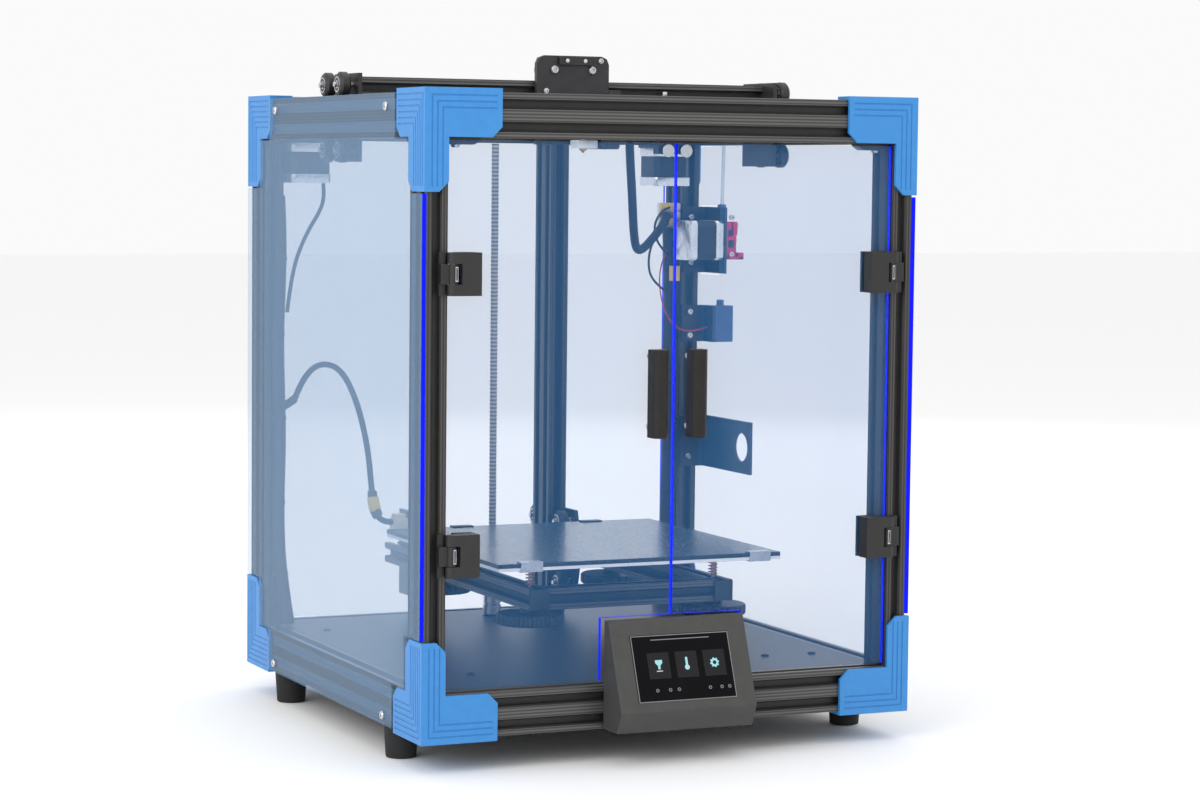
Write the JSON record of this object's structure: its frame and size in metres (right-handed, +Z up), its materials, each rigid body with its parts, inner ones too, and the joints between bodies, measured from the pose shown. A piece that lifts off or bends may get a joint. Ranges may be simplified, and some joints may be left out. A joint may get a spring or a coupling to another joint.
{
  "type": "enclosed fdm printer",
  "caption": "Enclosed desktop 3D printer: slotted extrusion frame, blue corner covers, tinted acrylic panels and doors, belt-driven top gantry, screw-lifted heated bed, sloping touch screen.",
  "frame": {"origin": "centre of the frame's footprint, on the plane that the four feet stand on", "axes": "+X to the right seen from the doors, +Y from the doors towards the back, +Z up"},
  "size_m": [0.5251, 0.5354, 0.6445],
  "materials": {
    "black_anodised": "satin",
    "blue_plastic": "fine matt",
    "tinted_acrylic": "clear, tinted blue",
    "zinc": "bright zinc",
    "black_sheet": "powder coat",
    "black_rubber": "matt",
    "board_green": "satin",
    "black_plastic": "satin",
    "motor_black": "satin",
    "aluminium": "satin",
    "belt_rubber": "matt",
    "grey_plastic": "fine grain",
    "screen_glass": "gloss",
    "red_anodised": "satin",
    "dark_glass": "gloss",
    "steel": "ground"
  },
  "bodies": {
    "frame": {"corner_posts": "black_anodised", "frame_bars": "black_anodised", "lift_posts": "black_anodised", "corner_covers": "blue_plastic", "side_panels": "tinted_acrylic", "rear_panel": "tinted_acrylic", "frame_screws": "zinc", "base_plates": "black_sheet", "feet": "black_rubber", "electronics": "aluminium", "mains_inlet": "black_plastic", "sheet_brackets": "black_sheet", "stepper_motors": "motor_black", "belt_pulleys": "aluminium", "frame_belts": "belt_rubber", "side_belts": "belt_rubber", "hinge_brackets": "black_sheet", "screen_housing": "grey_plastic", "touch_screen": "screen_glass", "feeder_body": "red_anodised", "filament_sensor": "black_plastic", "harness": "black_rubber", "bed_cable": "black_rubber", "rear_lines": "black_rubber"},
    "left_door": {"left_door_panel": "tinted_acrylic", "left_door_handle": "black_anodised", "left_door_hinges": "black_plastic"},
    "right_door": {"right_door_panel": "tinted_acrylic", "right_door_handle": "black_anodised", "right_door_hinges": "black_plastic"},
    "bed": {"bed_frame": "black_anodised", "heated_bed": "aluminium", "glass_plate": "dark_glass", "bed_clips": "steel", "levelling_screws": "steel", "lift_carriage": "black_sheet"},
    "lead_screw": {"lead_screw": "steel"},
    "feeder_lever": {"feeder_lever": "red_anodised"},
    "gantry": {"cross_beam": "black_anodised", "gantry_plates": "black_sheet", "gantry_pulleys": "aluminium", "beam_belts": "belt_rubber", "head_lines": "black_rubber"},
    "head": {"head_plate": "black_sheet", "hot_end": "aluminium", "head_fans": "black_plastic"},
    "rail_wheels_top_front": {"rail_wheels_top_front": "black_plastic"},
    "rail_wheels_bottom_front": {"rail_wheels_bottom_front": "black_plastic"},
    "rail_wheels_top_rear": {"rail_wheels_top_rear": "black_plastic"},
    "rail_wheels_bottom_rear": {"rail_wheels_bottom_rear": "black_plastic"},
    "lift_wheels_front_upper": {"lift_wheels_front_upper": "black_plastic"},
    "lift_wheels_front_lower": {"lift_wheels_front_lower": "black_plastic"},
    "lift_wheels_rear": {"lift_wheels_rear": "black_plastic"},
    "head_wheel_left": {"head_wheel_left": "black_plastic"},
    "head_wheel_right": {"head_wheel_right": "black_plastic"},
    "head_wheel_bottom": {"head_wheel_bottom": "black_plastic"},
    "front_left_knob": {"front_left_knob": "black_plastic"},
    "front_right_knob": {"front_right_knob": "black_plastic"},
    "rear_left_knob": {"rear_left_knob": "black_plastic"},
    "rear_right_knob": {"rear_right_knob": "black_plastic"}
  },
  "joints": [
    {"name": "left_door_swing", "type": "hinge", "parent": "frame", "child": "left_door", "pos_m": [-0.22, -0.25, 0.318], "axis": [0, 0, 1], "range_deg": [-105, 0]},
    {"name": "right_door_swing", "type": "hinge", "parent": "frame", "child": "right_door", "pos_m": [0.22, -0.25, 0.318], "axis": [0, 0, 1], "range_deg": [0, 105]},
    {"name": "bed_lift", "type": "slide", "parent": "frame", "child": "bed", "axis": [0, 0, 1], "range_m": [-0.02, 0.375], "deforming": ["bed_cable"]},
    {"name": "gantry_slide", "type": "slide", "parent": "frame", "child": "gantry", "axis": [0, 1, 0], "range_m": [-0.142, 0.109], "deforming": ["rear_lines", "side_belts"]},
    {"name": "head_slide", "type": "slide", "parent": "gantry", "child": "head", "axis": [1, 0, 0], "range_m": [-0.125, 0.125], "deforming": ["head_lines", "beam_belts"]},
    {"name": "lead_screw_turn", "type": "hinge", "parent": "frame", "child": "lead_screw", "pos_m": [0, 0.187, 0.3], "axis": [0, 0, 1], "continuous": true},
    {"name": "feeder_lever_press", "type": "hinge", "parent": "frame", "child": "feeder_lever", "pos_m": [0.258, 0.191, 0.461], "axis": [1, 0, 0], "range_deg": [0, 8], "stiffness_Nm_per_rad": 2},
    {"name": "rail_wheels_top_front_roll", "type": "hinge", "parent": "gantry", "child": "rail_wheels_top_front", "pos_m": [0, 0.0015, 0.61175], "axis": [1, 0, 0], "continuous": true},
    {"name": "rail_wheels_bottom_front_roll", "type": "hinge", "parent": "gantry", "child": "rail_wheels_bottom_front", "pos_m": [0, 0.0015, 0.55025], "axis": [1, 0, 0], "continuous": true},
    {"name": "rail_wheels_top_rear_roll", "type": "hinge", "parent": "gantry", "child": "rail_wheels_top_rear", "pos_m": [0, 0.0425, 0.61175], "axis": [1, 0, 0], "continuous": true},
    {"name": "rail_wheels_bottom_rear_roll", "type": "hinge", "parent": "gantry", "child": "rail_wheels_bottom_rear", "pos_m": [0, 0.0425, 0.55025], "axis": [1, 0, 0], "continuous": true},
    {"name": "lift_wheels_front_upper_roll", "type": "hinge", "parent": "bed", "child": "lift_wheels_front_upper", "pos_m": [0, 0.16925, 0.168], "axis": [1, 0, 0], "continuous": true},
    {"name": "lift_wheels_front_lower_roll", "type": "hinge", "parent": "bed", "child": "lift_wheels_front_lower", "pos_m": [0, 0.16925, 0.104], "axis": [1, 0, 0], "continuous": true},
    {"name": "lift_wheels_rear_roll", "type": "hinge", "parent": "bed", "child": "lift_wheels_rear", "pos_m": [0, 0.23075, 0.168], "axis": [1, 0, 0], "continuous": true},
    {"name": "head_wheel_left_roll", "type": "hinge", "parent": "head", "child": "head_wheel_left", "pos_m": [-0.015, 0.022, 0.63075], "axis": [0, 1, 0], "continuous": true},
    {"name": "head_wheel_right_roll", "type": "hinge", "parent": "head", "child": "head_wheel_right", "pos_m": [0.025, 0.022, 0.63075], "axis": [0, 1, 0], "continuous": true},
    {"name": "head_wheel_bottom_roll", "type": "hinge", "parent": "head", "child": "head_wheel_bottom", "pos_m": [0.005, 0.022, 0.58925], "axis": [0, 1, 0], "continuous": true},
    {"name": "front_left_knob_turn", "type": "hinge", "parent": "bed", "child": "front_left_knob", "pos_m": [-0.095, -0.135, 0.117], "axis": [0, 0, 1], "continuous": true},
    {"name": "front_right_knob_turn", "type": "hinge", "parent": "bed", "child": "front_right_knob", "pos_m": [0.095, -0.135, 0.117], "axis": [0, 0, 1], "continuous": true},
    {"name": "rear_left_knob_turn", "type": "hinge", "parent": "bed", "child": "rear_left_knob", "pos_m": [-0.095, 0.095, 0.117], "axis": [0, 0, 1], "continuous": true},
    {"name": "rear_right_knob_turn", "type": "hinge", "parent": "bed", "child": "rear_right_knob", "pos_m": [0.095, 0.095, 0.117], "axis": [0, 0, 1], "continuous": true}
  ],
  "couplings": [
    {"joint": "lead_screw_turn", "follows": "bed_lift", "rad_per_m": -785.4},
    {"joint": "rail_wheels_top_front_roll", "follows": "gantry_slide", "rad_per_m": -93.023},
    {"joint": "rail_wheels_bottom_front_roll", "follows": "gantry_slide", "rad_per_m": 93.023},
    {"joint": "rail_wheels_top_rear_roll", "follows": "gantry_slide", "rad_per_m": -93.023},
    {"joint": "rail_wheels_bottom_rear_roll", "follows": "gantry_slide", "rad_per_m": 93.023},
    {"joint": "lift_wheels_front_upper_roll", "follows": "bed_lift", "rad_per_m": -93.023},
    {"joint": "lift_wheels_front_lower_roll", "follows": "bed_lift", "rad_per_m": -93.023},
    {"joint": "lift_wheels_rear_roll", "follows": "bed_lift", "rad_per_m": 93.023},
    {"joint": "head_wheel_left_roll", "follows": "head_slide", "rad_per_m": 93.023},
    {"joint": "head_wheel_right_roll", "follows": "head_slide", "rad_per_m": 93.023},
    {"joint": "head_wheel_bottom_roll", "follows": "head_slide", "rad_per_m": -93.023}
  ]
}
